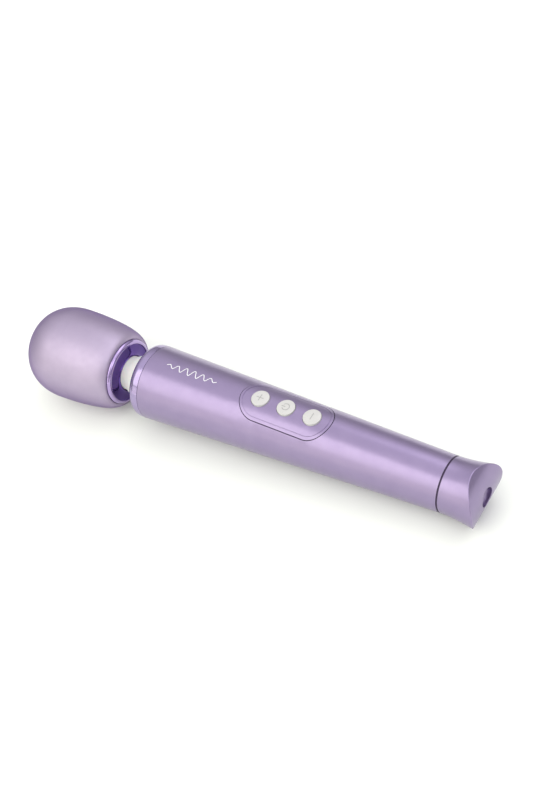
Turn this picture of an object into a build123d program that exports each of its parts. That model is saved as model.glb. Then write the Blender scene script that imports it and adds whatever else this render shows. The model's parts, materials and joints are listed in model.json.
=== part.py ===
from build123d import *
import os
from math import asin, cos, degrees, sin

# A cordless handheld wand massager, lying on a table with its buttons up.
# Millimetres. +X runs from the head to the tail, +Z is up, and the table is z = 0.
# The wand rests on its head and on the slimmer end cap, so its own axis leans down a little towards the tail.
# A "station" is a distance along that axis from the head's tip, and a "height" is measured up from the axis.

# ---------------------------------------------------------------- driving dimensions

TOTAL_LENGTH = 255.0
HEAD_RADIUS = 23.5
HEAD_WIDEST = 23.0                # station of the head's largest circle
HEAD_SHOULDER = 51.0              # station where the head starts to round in to its trim ring
HEAD_SHOULDER_RADIUS = 20.9
TRIM_STATION = 56.6
TRIM_RADIUS = 16.9
COLLAR_NOSE = 70.0
COLLAR_SEAM = 76.5
COLLAR_RADIUS = 18.65
TAIL_SEAM = 236.5
TAIL_SEAM_RADIUS = 13.4
TAIL_END_RADIUS = 15.75
ROCKER_RADIUS = 20.0              # the end face is part of a cylinder that lies across the wand

BUTTON_STATION = 154.3            # middle button
BUTTON_PITCH = 14.0
BUTTON_RADIUS = 4.45
BUTTON_PROUD = 0.9
BUTTON_TRAVEL = 0.5
BUTTON_NAMES = ("plus", "power", "minus")
PANEL_LENGTH = 48.4               # the panel has fully round ends
PANEL_WIDTH = 21.2

SILICONE_WALL = 2.4
SHELL_WALL = 1.8
TUBE_WALL = 1.6
CHASSIS_WALL = 1.2
SEAM_GAP = 0.2                    # visible gap between two outer pieces
SLIP = 0.25                       # clearance round pieces that slide into the tube
TOUCH = 0.05                      # clearance between pieces that rest on each other
RUNNING = 0.04                    # radial clearance of the motor shaft in its bearings

# ---------------------------------------------------------------- how the wand lies

TAIL_CONTACT_STATION = 248.9      # lowest edge of the end cap, which touches the table
TAIL_CONTACT_RADIUS = 14.4
LEAN = asin((HEAD_RADIUS - TAIL_CONTACT_RADIUS) / (TAIL_CONTACT_STATION - HEAD_WIDEST))
ALONG = Vector(cos(LEAN), 0, -sin(LEAN))
UPWARD = Vector(sin(LEAN), 0, cos(LEAN))
HEAD_SUPPORT = 0.04               # the leaning head touches the table this much below its largest circle
HEAD_TIP = Vector(
    -TOTAL_LENGTH * cos(LEAN) / 2 + 0.2,
    0,
    HEAD_RADIUS * cos(LEAN) + HEAD_WIDEST * sin(LEAN) + HEAD_SUPPORT,
)
WAND_AXIS = Axis(HEAD_TIP, ALONG)
LENGTHWISE = Plane(origin=HEAD_TIP, x_dir=ALONG, z_dir=(0, -1, 0))  # local x is the station, y the height
UNDERSIDE = Plane(origin=HEAD_TIP, x_dir=ALONG, z_dir=(0, 1, 0))    # the same plane with local y down
MIDDLE = Plane(origin=HEAD_TIP, x_dir=ALONG, z_dir=UPWARD)          # level plane that holds the axis


def across(station):
    """Cross-section plane at a station, facing the tail: local x is +Y and local y is the height."""
    return Plane(origin=HEAD_TIP + ALONG * station, x_dir=(0, 1, 0), z_dir=ALONG)


def level(station, height):
    """Plane that faces up at a height above the axis: local x runs to the tail."""
    return Plane(origin=HEAD_TIP + ALONG * station + UPWARD * height, x_dir=ALONG, z_dir=UPWARD)


def tube_radius(station):
    """Outer radius of the tapered handle tube."""
    taper = (COLLAR_RADIUS - TAIL_SEAM_RADIUS) / (TAIL_SEAM - COLLAR_SEAM)
    return COLLAR_RADIUS - taper * (station - COLLAR_SEAM)


def section(*points):
    """Closed face from (station, radius) points, drawn below the axis so that revolved seams lie there."""
    with BuildSketch(UNDERSIDE) as face:
        with BuildLine():
            Polyline(*points, close=True)
        make_face()
    return face.sketch


def ring_section(start, end, inner, outer):
    """Rectangular face from one station to another, between two radii."""
    return section((start, inner), (end, inner), (end, outer), (start, outer))


def tapered_section(start, end, inset, wall):
    """Face that follows the handle tube, with its outer side inset from the tube's surface."""
    return section(
        (start, tube_radius(start) - inset),
        (end, tube_radius(end) - inset),
        (end, tube_radius(end) - inset - wall),
        (start, tube_radius(start) - inset - wall),
    )


def head_curves(inset):
    """The head's two profile curves, moved inwards: tip to widest circle, and on to the shoulder."""
    roundness = 0.62              # 0.55 would be an ellipse, more is blunter
    radius = HEAD_RADIUS - inset
    run = HEAD_SHOULDER - HEAD_WIDEST
    drop = 1.4
    front = Bezier(
        (inset, 0),
        (inset, radius * roundness),
        (HEAD_WIDEST - (HEAD_WIDEST - inset) * roundness, radius),
        (HEAD_WIDEST, radius),
    )
    rear = Bezier(
        (HEAD_WIDEST, radius),
        (HEAD_WIDEST + 0.46 * run, radius),
        (HEAD_WIDEST + 0.82 * run, HEAD_SHOULDER_RADIUS + drop - inset),
        (HEAD_SHOULDER, HEAD_SHOULDER_RADIUS - inset),
    )
    return front, rear


pieces = {}


def keep_piece(name, part):
    """Label a finished piece and remember it under its node name."""
    part.label = name
    pieces[name] = part


# ---------------------------------------------------------------- head: cover and shells

COVER_LIP = 52.7                  # station where the cover's inner lip starts
SHOULDER_REACH = 3.1              # these two set how full the cover's shoulder is
SHOULDER_FALL = 0.85
LIP_ROUND = 2.0                   # how far the cover's rear edge is rounded off

with BuildPart() as silicone_head_cover:
    with BuildSketch(LENGTHWISE):
        with BuildLine():
            head_curves(0)
            Bezier(
                (HEAD_SHOULDER, HEAD_SHOULDER_RADIUS),
                (HEAD_SHOULDER + SHOULDER_REACH, HEAD_SHOULDER_RADIUS - SHOULDER_FALL),
                (TRIM_STATION - TOUCH, TRIM_RADIUS + LIP_ROUND),
                (TRIM_STATION, TRIM_RADIUS + TOUCH),
            )
            Polyline(
                (TRIM_STATION, TRIM_RADIUS + TOUCH),
                (COVER_LIP, TRIM_RADIUS + TOUCH),
                (HEAD_SHOULDER, HEAD_SHOULDER_RADIUS - SILICONE_WALL),
            )
            head_curves(SILICONE_WALL)
            Line((SILICONE_WALL, 0), (0, 0))
        make_face()
    revolve(axis=WAND_AXIS)
keep_piece("silicone_head_cover", silicone_head_cover.part)

MOTOR_RADIUS = 12.2
MOTOR_FRONT = 24.0
MOTOR_REAR = 49.0
SLEEVE_WALL = 1.6
SLEEVE_RADIUS = MOTOR_RADIUS + TOUCH + SLEEVE_WALL
SHELL_INSET = SILICONE_WALL + TOUCH
RIB_STATIONS = (28.0, 43.0)
RIB_WIDTH = 2.0
RIB_BITE = 0.15                   # a rib's outer edge runs this far into the shell


def head_shell_half(kept_side):
    """One half of the hard capsule under the silicone, with two ribs that hold the motor sleeve."""
    with BuildPart() as half:
        with BuildSketch(LENGTHWISE):
            with BuildLine():
                head_curves(SHELL_INSET)
                Line(
                    (HEAD_SHOULDER, HEAD_SHOULDER_RADIUS - SHELL_INSET),
                    (HEAD_SHOULDER, HEAD_SHOULDER_RADIUS - SHELL_INSET - SHELL_WALL),
                )
                head_curves(SHELL_INSET + SHELL_WALL)
                Line((SHELL_INSET + SHELL_WALL, 0), (SHELL_INSET, 0))
            make_face()
        revolve(axis=WAND_AXIS)
        for rib in RIB_STATIONS:
            rib_outer = HEAD_RADIUS - SHELL_INSET - SHELL_WALL + RIB_BITE
            revolve(ring_section(rib, rib + RIB_WIDTH, SLEEVE_RADIUS + TOUCH, rib_outer), axis=WAND_AXIS)
        split(bisect_by=MIDDLE, keep=kept_side)
    return half.part


keep_piece("head_shell_upper", head_shell_half(Keep.TOP))
keep_piece("head_shell_lower", head_shell_half(Keep.BOTTOM))

# ---------------------------------------------------------------- head: base, trim ring, screws

BASE_REAR = 55.4
BASE_RADIUS = 15.5
SPIGOT_RADIUS = 7.3
SPIGOT_BORE = 6.35
SPIGOT_END = 58.7
SPRING_SEAT = 55.0
LEAD_HOLE_RADIUS = 4.0
HEAD_SCREW_COUNT = 3
HEAD_SCREW_CIRCLE = 12.1          # radius of the circle that the screws stand on
HEAD_SCREW_LENGTH = 3.0
SCREW_RADIUS = 1.0
SCREW_HEAD_RADIUS = 1.9
SCREW_HEAD_HEIGHT = 1.3

with BuildPart() as head_base:
    revolve(
        section(
            (HEAD_SHOULDER + TOUCH, LEAD_HOLE_RADIUS),
            (SPRING_SEAT, LEAD_HOLE_RADIUS),
            (SPRING_SEAT, SPIGOT_BORE),
            (SPIGOT_END, SPIGOT_BORE),
            (SPIGOT_END, SPIGOT_RADIUS),
            (BASE_REAR, SPIGOT_RADIUS),
            (BASE_REAR, BASE_RADIUS),
            (COVER_LIP - TOUCH, BASE_RADIUS),
            (COVER_LIP - TOUCH, TRIM_RADIUS - TOUCH),
            (HEAD_SHOULDER + TOUCH, TRIM_RADIUS - TOUCH),
        ),
        axis=WAND_AXIS,
    )
    with BuildSketch(across(BASE_REAR)):
        with PolarLocations(HEAD_SCREW_CIRCLE, HEAD_SCREW_COUNT):
            Circle(SCREW_RADIUS)
    extrude(amount=HEAD_SHOULDER - BASE_REAR, mode=Mode.SUBTRACT)
    with BuildSketch(across(BASE_REAR)):
        with PolarLocations(HEAD_SCREW_CIRCLE, HEAD_SCREW_COUNT):
            Circle(SCREW_HEAD_RADIUS)
    extrude(amount=-SCREW_HEAD_HEIGHT - TOUCH, mode=Mode.SUBTRACT)
keep_piece("head_base", head_base.part)

with BuildPart() as head_screws:
    with BuildSketch(across(BASE_REAR - TOUCH)):
        with PolarLocations(HEAD_SCREW_CIRCLE, HEAD_SCREW_COUNT):
            Circle(SCREW_HEAD_RADIUS - TOUCH)
    extrude(amount=-SCREW_HEAD_HEIGHT)
    with BuildSketch(across(BASE_REAR - SCREW_HEAD_HEIGHT)):
        with PolarLocations(HEAD_SCREW_CIRCLE, HEAD_SCREW_COUNT):
            Circle(SCREW_RADIUS - TOUCH)
    extrude(amount=-HEAD_SCREW_LENGTH)
keep_piece("head_screws", head_screws.part)

DISH_RIM = 58.3                   # station where the rounded band ends and the dish starts
DISH_RIM_RADIUS = 15.0
DISH_STEP = 0.5                   # the dish starts this far in front of the rim
DISH_BORE = 8.95
DISH_END = 59.1
DISH_LIP = 0.25                   # thickness of the dish's edge round the neck

with BuildPart() as head_trim_ring:
    with BuildSketch(LENGTHWISE):
        with BuildLine():
            Polyline(
                (COVER_LIP, BASE_RADIUS + TOUCH),
                (COVER_LIP, TRIM_RADIUS - TOUCH),
                (TRIM_STATION, TRIM_RADIUS - TOUCH),
            )
            TangentArc((TRIM_STATION, TRIM_RADIUS - TOUCH), (DISH_RIM, DISH_RIM_RADIUS), tangent=(1, 0))
            Line((DISH_RIM, DISH_RIM_RADIUS), (DISH_RIM - DISH_STEP, DISH_RIM_RADIUS - DISH_LIP))
            Bezier(
                (DISH_RIM - DISH_STEP, DISH_RIM_RADIUS - DISH_LIP),
                (DISH_RIM - DISH_STEP, (DISH_RIM_RADIUS + DISH_BORE) / 2),
                (DISH_END - 2 * DISH_STEP, DISH_BORE + 2 * DISH_LIP),
                (DISH_END, DISH_BORE + DISH_LIP),
            )
            Polyline(
                (DISH_END, DISH_BORE + DISH_LIP),
                (DISH_END, DISH_BORE),
                (BASE_REAR + TOUCH, DISH_BORE),
                (BASE_REAR + TOUCH, BASE_RADIUS + TOUCH),
                (COVER_LIP, BASE_RADIUS + TOUCH),
            )
        make_face()
    revolve(axis=WAND_AXIS)
keep_piece("head_trim_ring", head_trim_ring.part)

# ---------------------------------------------------------------- head: motor

CAN_WALL = 0.8
SHAFT_RADIUS = 1.15
BEARING_RADIUS = 3.0
BEARING_LENGTH = 2.4
END_CAP_LENGTH = 2.0
BEARING_BORE = SHAFT_RADIUS + RUNNING
SHAFT_FRONT = 8.0
SHAFT_REAR = 48.8
SHAFT_CHAMFER = 0.25
SLEEVE_INSET = 1.0                # the sleeve is this much shorter than the motor, at each end

with BuildPart() as motor_sleeve:
    revolve(
        ring_section(
            MOTOR_FRONT + SLEEVE_INSET, MOTOR_REAR - SLEEVE_INSET, MOTOR_RADIUS + TOUCH, SLEEVE_RADIUS
        ),
        axis=WAND_AXIS,
    )
keep_piece("motor_sleeve", motor_sleeve.part)

with BuildPart() as motor_can:
    revolve(
        section(
            (MOTOR_FRONT, BEARING_RADIUS),
            (MOTOR_FRONT, MOTOR_RADIUS),
            (MOTOR_REAR - END_CAP_LENGTH - TOUCH, MOTOR_RADIUS),
            (MOTOR_REAR - END_CAP_LENGTH - TOUCH, MOTOR_RADIUS - CAN_WALL),
            (MOTOR_FRONT + CAN_WALL, MOTOR_RADIUS - CAN_WALL),
            (MOTOR_FRONT + CAN_WALL, BEARING_RADIUS),
        ),
        axis=WAND_AXIS,
    )
keep_piece("motor_can", motor_can.part)

with BuildPart() as motor_end_cap:
    revolve(
        ring_section(MOTOR_REAR - END_CAP_LENGTH, MOTOR_REAR, BEARING_RADIUS, MOTOR_RADIUS),
        axis=WAND_AXIS,
    )
keep_piece("motor_end_cap", motor_end_cap.part)

with BuildPart() as front_bearing:
    revolve(
        ring_section(MOTOR_FRONT, MOTOR_FRONT + BEARING_LENGTH, BEARING_BORE, BEARING_RADIUS),
        axis=WAND_AXIS,
    )
keep_piece("front_bearing", front_bearing.part)

with BuildPart() as rear_bearing:
    revolve(
        ring_section(MOTOR_REAR - BEARING_LENGTH, MOTOR_REAR, BEARING_BORE, BEARING_RADIUS),
        axis=WAND_AXIS,
    )
keep_piece("rear_bearing", rear_bearing.part)

MAGNET_WALL = 2.2
MAGNET_OUTER = MOTOR_RADIUS - CAN_WALL - TOUCH
MAGNET_FRONT = 28.0
MAGNET_REAR = 44.0
MAGNET_GAP = 5.0                  # width of the gap between the two magnets, on each side

with BuildPart() as motor_magnets:
    revolve(
        ring_section(MAGNET_FRONT, MAGNET_REAR, MAGNET_OUTER - MAGNET_WALL, MAGNET_OUTER),
        axis=WAND_AXIS,
    )
    with BuildSketch(across(MAGNET_FRONT)):
        Rectangle(2 * MOTOR_RADIUS, MAGNET_GAP)
    extrude(amount=MAGNET_REAR - MAGNET_FRONT, mode=Mode.SUBTRACT)
keep_piece("motor_magnets", motor_magnets.part)

ARMATURE_GAP = 0.4
ARMATURE_RADIUS = MAGNET_OUTER - MAGNET_WALL - ARMATURE_GAP
POLE_COUNT = 3
POLE_INSET = 1.0                  # the armature is this much shorter than the magnets, at each end
POLE_SLOT = 1.6

with BuildPart() as motor_armature:
    revolve(
        ring_section(MAGNET_FRONT + POLE_INSET, MAGNET_REAR - POLE_INSET, SHAFT_RADIUS, ARMATURE_RADIUS),
        axis=WAND_AXIS,
    )
    with BuildSketch(across(MAGNET_FRONT)):
        with PolarLocations(ARMATURE_RADIUS, POLE_COUNT, start_angle=30):
            Rectangle(ARMATURE_RADIUS, POLE_SLOT)
    extrude(amount=MAGNET_REAR - MAGNET_FRONT, mode=Mode.SUBTRACT)
keep_piece("motor_armature", motor_armature.part)

with BuildPart() as motor_shaft:
    with BuildSketch(across(SHAFT_FRONT)):
        Circle(SHAFT_RADIUS)
    extrude(amount=SHAFT_REAR - SHAFT_FRONT)
    chamfer(motor_shaft.faces().sort_by(WAND_AXIS)[0].edges(), length=SHAFT_CHAMFER)
keep_piece("motor_shaft", motor_shaft.part)

WEIGHT_FRONT = 9.5
WEIGHT_LENGTH = 11.0
WEIGHT_RADIUS = 11.0
WEIGHT_HUB_RADIUS = 3.2

with BuildPart() as eccentric_weight:
    with BuildSketch(across(WEIGHT_FRONT)):
        Circle(WEIGHT_RADIUS)
        with Locations((0, WEIGHT_RADIUS)):
            Rectangle(2 * WEIGHT_RADIUS, 2 * WEIGHT_RADIUS, mode=Mode.SUBTRACT)
        Circle(WEIGHT_HUB_RADIUS)
        Circle(SHAFT_RADIUS, mode=Mode.SUBTRACT)
    extrude(amount=WEIGHT_LENGTH)
keep_piece("eccentric_weight", eccentric_weight.part)

# ---------------------------------------------------------------- flexible neck

BOOT_FRONT = BASE_REAR + 0.2
BOOT_BORE = SPIGOT_RADIUS + TOUCH
BOOT_WAIST = 8.7
BOOT_REAR_RADIUS = 13.4
BOOT_FLARE_END = COLLAR_NOSE + 0.5
WAIST_REACH = 4.4                 # these three shape the flare of the boot
FLARE_REACH = 5.0
FLARE_FALL = 0.8
COLLAR_BORE = 13.7
COLLAR_LIP = 72.2                 # station of the collar lip's inner side
FLANGE_RADIUS = 15.5
FLANGE_REAR = 74.8

with BuildPart() as neck_boot:
    with BuildSketch(LENGTHWISE):
        with BuildLine():
            Polyline((BOOT_FRONT, BOOT_BORE), (BOOT_FRONT, BOOT_WAIST), (DISH_END, BOOT_WAIST))
            Bezier(
                (DISH_END, BOOT_WAIST),
                (DISH_END + WAIST_REACH, BOOT_WAIST),
                (BOOT_FLARE_END - FLARE_REACH, BOOT_REAR_RADIUS - FLARE_FALL),
                (BOOT_FLARE_END, BOOT_REAR_RADIUS),
            )
            Polyline(
                (BOOT_FLARE_END, BOOT_REAR_RADIUS),
                (COLLAR_LIP + TOUCH, BOOT_REAR_RADIUS),
                (COLLAR_LIP + TOUCH, FLANGE_RADIUS),
                (FLANGE_REAR, FLANGE_RADIUS),
                (FLANGE_REAR, BOOT_BORE),
                (BOOT_FRONT, BOOT_BORE),
            )
        make_face()
    revolve(axis=WAND_AXIS)
keep_piece("neck_boot", neck_boot.part)

SPRING_WIRE_RADIUS = 0.5
SPRING_RADIUS = SPIGOT_BORE - SPRING_WIRE_RADIUS - 2 * TOUCH
SPRING_PITCH = 2.1
SPRING_START = SPRING_SEAT + SPRING_WIRE_RADIUS + 2 * TOUCH
SPRING_LENGTH = 20.0

with BuildPart() as neck_spring:
    with BuildLine() as spring_path:
        Helix(
            pitch=SPRING_PITCH,
            height=SPRING_LENGTH,
            radius=SPRING_RADIUS,
            center=HEAD_TIP + ALONG * SPRING_START,
            direction=ALONG,
        )
    with BuildSketch(Plane(origin=spring_path.line @ 0, z_dir=spring_path.line % 0)):
        Circle(SPRING_WIRE_RADIUS)
    sweep(path=spring_path.line, is_frenet=True)
keep_piece("neck_spring", neck_spring.part)

LEAD_RADIUS = 0.6
LEAD_BEND = 2.5                   # bend radius of the wires inside the handle
LEAD_SPREAD = 1.4                 # distance of a wire to each side of the axis
CONNECTOR_FRONT = 120.0
MOTOR_LEAD_HEIGHT = 9.6


def lead(side, *points):
    """One wire along (station, height) points, at a distance to one side of the axis."""
    plane = Plane(origin=HEAD_TIP + Vector(0, side, 0), x_dir=ALONG, z_dir=(0, -1, 0))
    with BuildPart() as wire:
        with BuildLine(plane) as route:
            FilletPolyline(*points, radius=LEAD_BEND)
        with BuildSketch(Plane(origin=route.line @ 0, z_dir=route.line % 0)):
            Circle(LEAD_RADIUS)
        sweep(path=route.line)
    return wire.part


NECK_LEAD_RISE = (80.0, 90.0)     # stations between which the wires climb to the connector

with BuildPart() as neck_leads:
    for side in (-LEAD_SPREAD, LEAD_SPREAD):
        add(
            lead(
                side,
                (MOTOR_REAR + TOUCH, 0),
                (NECK_LEAD_RISE[0], 0),
                (NECK_LEAD_RISE[1], MOTOR_LEAD_HEIGHT),
                (CONNECTOR_FRONT - TOUCH, MOTOR_LEAD_HEIGHT),
            )
        )
keep_piece("neck_leads", neck_leads.part)

# ---------------------------------------------------------------- collar and neck clamp

COLLAR_ROUND = 4.0                # radius of the collar's rounded nose
COLLAR_END = COLLAR_SEAM - SEAM_GAP / 2

with BuildPart() as collar_ring:
    with BuildSketch(LENGTHWISE):
        with BuildLine():
            Line((COLLAR_END, COLLAR_RADIUS), (COLLAR_NOSE + COLLAR_ROUND, COLLAR_RADIUS))
            RadiusArc(
                (COLLAR_NOSE + COLLAR_ROUND, COLLAR_RADIUS),
                (COLLAR_NOSE, COLLAR_RADIUS - COLLAR_ROUND),
                -COLLAR_ROUND,
            )
            Polyline(
                (COLLAR_NOSE, COLLAR_RADIUS - COLLAR_ROUND),
                (BOOT_FLARE_END, COLLAR_BORE),
                (COLLAR_LIP, COLLAR_BORE),
                (COLLAR_LIP, FLANGE_RADIUS + TOUCH),
                (COLLAR_END, FLANGE_RADIUS + TOUCH),
                (COLLAR_END, COLLAR_RADIUS),
            )
        make_face()
    revolve(axis=WAND_AXIS)
keep_piece("collar_ring", collar_ring.part)

CLAMP_FRONT = FLANGE_REAR + TOUCH
CLAMP_SLEEVE_FRONT = 72.4
CLAMP_REAR = 82.0
CLAMP_BORE = 13.0
CLAMP_STEP = COLLAR_SEAM + 1.5

with BuildPart() as neck_clamp_ring:
    revolve(
        section(
            (CLAMP_SLEEVE_FRONT, SPIGOT_BORE),
            (CLAMP_SLEEVE_FRONT, SPIGOT_RADIUS),
            (CLAMP_FRONT, SPIGOT_RADIUS),
            (CLAMP_FRONT, FLANGE_RADIUS),
            (COLLAR_SEAM, FLANGE_RADIUS),
            (COLLAR_SEAM, tube_radius(CLAMP_REAR) - TUBE_WALL - TOUCH),
            (CLAMP_REAR, tube_radius(CLAMP_REAR) - TUBE_WALL - TOUCH),
            (CLAMP_REAR, CLAMP_BORE),
            (CLAMP_STEP, CLAMP_BORE),
            (CLAMP_STEP, SPIGOT_BORE),
        ),
        axis=WAND_AXIS,
    )
keep_piece("neck_clamp_ring", neck_clamp_ring.part)

# ---------------------------------------------------------------- handle tube and control panel

TUBE_START = COLLAR_SEAM + SEAM_GAP / 2
TUBE_END = TAIL_SEAM - SEAM_GAP
PANEL_GROOVE = 0.24               # visible gap between the panel and the tube
PANEL_LINE_INSET = 1.3            # the engraved line runs this far inside the panel's edge
PANEL_LINE_WIDTH = 0.25
PANEL_LINE_DEPTH = 0.2
EDGE_BREAK = 0.1                  # chamfer along the panel's groove
ABOVE_TUBE = 25.0                 # a height that is above everything
PANEL_BASE_HEIGHT = 8.0           # a height that is under the panel's lowest edge


def panel_outline(inset):
    """The panel's outline with round ends, seen from above."""
    with BuildSketch(level(BUTTON_STATION, PANEL_BASE_HEIGHT)) as outline:
        SlotOverall(PANEL_LENGTH - 2 * inset, PANEL_WIDTH - 2 * inset)
    return outline.sketch


with BuildPart() as handle_tube:
    revolve(tapered_section(TUBE_START, TUBE_END, 0, TUBE_WALL), axis=WAND_AXIS)
    extrude(panel_outline(-PANEL_GROOVE / 2), amount=ABOVE_TUBE, mode=Mode.SUBTRACT)
    outside = handle_tube.faces().filter_by(GeomType.CONE).sort_by(SortBy.AREA)[-1]
    chamfer(outside.inner_wires()[0].edges(), length=EDGE_BREAK)
keep_piece("handle_tube", handle_tube.part)

BUTTON_HOLE_CLEARANCE = 0.18
BUTTON_STATIONS = [BUTTON_STATION + BUTTON_PITCH * step for step in (-1, 0, 1)]

PANEL_BLANK_START = 125.0
PANEL_BLANK_END = 185.0

with BuildPart() as panel_line:   # the shallow line that is cut into the panel, all round near its edge
    revolve(
        tapered_section(PANEL_BLANK_START, PANEL_BLANK_END, -PANEL_LINE_DEPTH, 2 * PANEL_LINE_DEPTH),
        axis=WAND_AXIS,
    )
    extrude(panel_outline(PANEL_LINE_INSET), amount=ABOVE_TUBE, mode=Mode.INTERSECT)
    extrude(panel_outline(PANEL_LINE_INSET + PANEL_LINE_WIDTH), amount=ABOVE_TUBE, mode=Mode.SUBTRACT)

with BuildPart() as control_panel:
    revolve(tapered_section(PANEL_BLANK_START, PANEL_BLANK_END, 0, TUBE_WALL), axis=WAND_AXIS)
    extrude(panel_outline(PANEL_GROOVE / 2), amount=ABOVE_TUBE, mode=Mode.INTERSECT)
    outside = control_panel.faces().filter_by(GeomType.CONE).sort_by(SortBy.AREA)[-1]
    chamfer(outside.outer_wire().edges(), length=EDGE_BREAK)
    with BuildSketch(level(BUTTON_STATION, 0)):
        with GridLocations(BUTTON_PITCH, 0, len(BUTTON_NAMES), 1):
            Circle(BUTTON_RADIUS + BUTTON_HOLE_CLEARANCE)
    extrude(amount=ABOVE_TUBE, mode=Mode.SUBTRACT)
    add(panel_line.part, mode=Mode.SUBTRACT)
keep_piece("control_panel", control_panel.part)

# ---------------------------------------------------------------- buttons, membrane, switches

FLANGE_TOP = 12.8                 # height of the flange that keeps a button in its hole
BUTTON_FLANGE = 0.7
BUTTON_FLANGE_RADIUS = 4.9
DOME_GAP = 0.15                   # left under a button that is fully pressed
BUTTON_EDGE = 0.35
BUTTON_CROWN = 0.3                # how far a button's top bulges

for name, station in zip(BUTTON_NAMES, BUTTON_STATIONS):
    rim_height = tube_radius(station) + BUTTON_PROUD - BUTTON_CROWN
    button_plane = Plane(origin=HEAD_TIP + ALONG * station, x_dir=ALONG, z_dir=(0, -1, 0))
    with BuildPart() as button:
        with BuildSketch(button_plane):
            with BuildLine():
                Polyline(
                    (0, FLANGE_TOP - BUTTON_FLANGE),
                    (BUTTON_FLANGE_RADIUS, FLANGE_TOP - BUTTON_FLANGE),
                    (BUTTON_FLANGE_RADIUS, FLANGE_TOP),
                    (BUTTON_RADIUS, FLANGE_TOP),
                    (BUTTON_RADIUS, rim_height - BUTTON_EDGE),
                )
                RadiusArc(
                    (BUTTON_RADIUS, rim_height - BUTTON_EDGE),
                    (BUTTON_RADIUS - BUTTON_EDGE, rim_height),
                    -BUTTON_EDGE,
                )
                Bezier(
                    (BUTTON_RADIUS - BUTTON_EDGE, rim_height),
                    (BUTTON_RADIUS / 2, rim_height + BUTTON_CROWN),
                    (0, rim_height + BUTTON_CROWN),
                )
                Line((0, rim_height + BUTTON_CROWN), (0, FLANGE_TOP - BUTTON_FLANGE))
            make_face()
        revolve(axis=Axis(button_plane.origin, UPWARD))
    keep_piece(name + "_button", button.part)

DOME_TOP = FLANGE_TOP - BUTTON_FLANGE - BUTTON_TRAVEL - DOME_GAP
DOME_HEIGHT = 0.35
DOME_RADIUS = 2.6
MEMBRANE_SHEET = 0.4
MEMBRANE_LENGTH = 44.0
MEMBRANE_WIDTH = 14.4
MEMBRANE_WALL = 1.0
MEMBRANE_CORNER = 2.0
MEMBRANE_TOP = DOME_TOP - DOME_HEIGHT
BOARD_TOP = 8.4
BOARD_THICKNESS = 1.2
BOARD_START = 118.0
BOARD_END = 182.0
BOARD_WIDTH = 19.8
BOARD_CORNER = 1.0
SWITCH_SIZE = 6.0
SWITCH_CORNER = 0.5
SWITCH_HEIGHT = 1.8
PLUNGER_RADIUS = 1.6

with BuildPart() as button_membrane:
    with BuildSketch(level(BUTTON_STATION, BOARD_TOP + TOUCH)):
        RectangleRounded(MEMBRANE_LENGTH, MEMBRANE_WIDTH, MEMBRANE_CORNER)
    extrude(amount=MEMBRANE_TOP - BOARD_TOP - TOUCH)
    with BuildSketch(level(BUTTON_STATION, BOARD_TOP)):
        RectangleRounded(
            MEMBRANE_LENGTH - 2 * MEMBRANE_WALL,
            MEMBRANE_WIDTH - 2 * MEMBRANE_WALL,
            MEMBRANE_CORNER - MEMBRANE_WALL,
        )
    extrude(amount=MEMBRANE_TOP - BOARD_TOP - MEMBRANE_SHEET, mode=Mode.SUBTRACT)
    with BuildSketch(level(BUTTON_STATION, MEMBRANE_TOP)):
        with GridLocations(BUTTON_PITCH, 0, len(BUTTON_NAMES), 1):
            Circle(DOME_RADIUS)
    extrude(amount=DOME_HEIGHT)
keep_piece("button_membrane", button_membrane.part)

for name, station in zip(BUTTON_NAMES, BUTTON_STATIONS):
    with BuildPart() as switch:
        with BuildSketch(level(station, BOARD_TOP + TOUCH)):
            RectangleRounded(SWITCH_SIZE, SWITCH_SIZE, SWITCH_CORNER)
        extrude(amount=SWITCH_HEIGHT)
        with BuildSketch(level(station, BOARD_TOP + SWITCH_HEIGHT)):
            Circle(PLUNGER_RADIUS)
        extrude(amount=MEMBRANE_TOP - MEMBRANE_SHEET - BOARD_TOP - SWITCH_HEIGHT - TOUCH)
    keep_piece(name + "_switch", switch.part)

# ---------------------------------------------------------------- circuit board

BOARD_SCREW_RADIUS = 0.8
BOARD_SCREW_HEAD = 1.4
BOARD_SCREW_HEAD_HEIGHT = 0.8
BOARD_SCREW_STATIONS = (128.5, 179.5)
BOARD_SCREW_SIDE = 8.3
BOARD_SCREW_DEPTH = 1.1
BOARD_MIDDLE = (BOARD_START + BOARD_END) / 2
BOARD_SCREW_SPOTS = [
    (station - BOARD_MIDDLE, side)
    for station in BOARD_SCREW_STATIONS
    for side in (-BOARD_SCREW_SIDE, BOARD_SCREW_SIDE)
]

with BuildPart() as control_board:
    with BuildSketch(level(BOARD_MIDDLE, BOARD_TOP - BOARD_THICKNESS)):
        RectangleRounded(BOARD_END - BOARD_START, BOARD_WIDTH, BOARD_CORNER)
        with Locations(*BOARD_SCREW_SPOTS):
            Circle(BOARD_SCREW_RADIUS, mode=Mode.SUBTRACT)
    extrude(amount=BOARD_THICKNESS)
keep_piece("control_board", control_board.part)

with BuildPart() as board_screws:
    with BuildSketch(level(BOARD_MIDDLE, BOARD_TOP + TOUCH)):
        with Locations(*BOARD_SCREW_SPOTS):
            Circle(BOARD_SCREW_HEAD)
    extrude(amount=BOARD_SCREW_HEAD_HEIGHT)
    with BuildSketch(level(BOARD_MIDDLE, BOARD_TOP + 2 * TOUCH)):
        with Locations(*BOARD_SCREW_SPOTS):
            Circle(BOARD_SCREW_RADIUS - TOUCH)
    extrude(amount=-BOARD_THICKNESS - BOARD_SCREW_DEPTH)
keep_piece("board_screws", board_screws.part)

CHIP_SIZES = {"motor_driver_chip": (5.0, 5.0, 0.9), "charger_chip": (4.0, 5.0, 1.0)}
CONNECTOR_LENGTH = 5.0
CONNECTOR_WIDTH = 9.0
CONNECTOR_HEIGHT = 3.0

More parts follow.
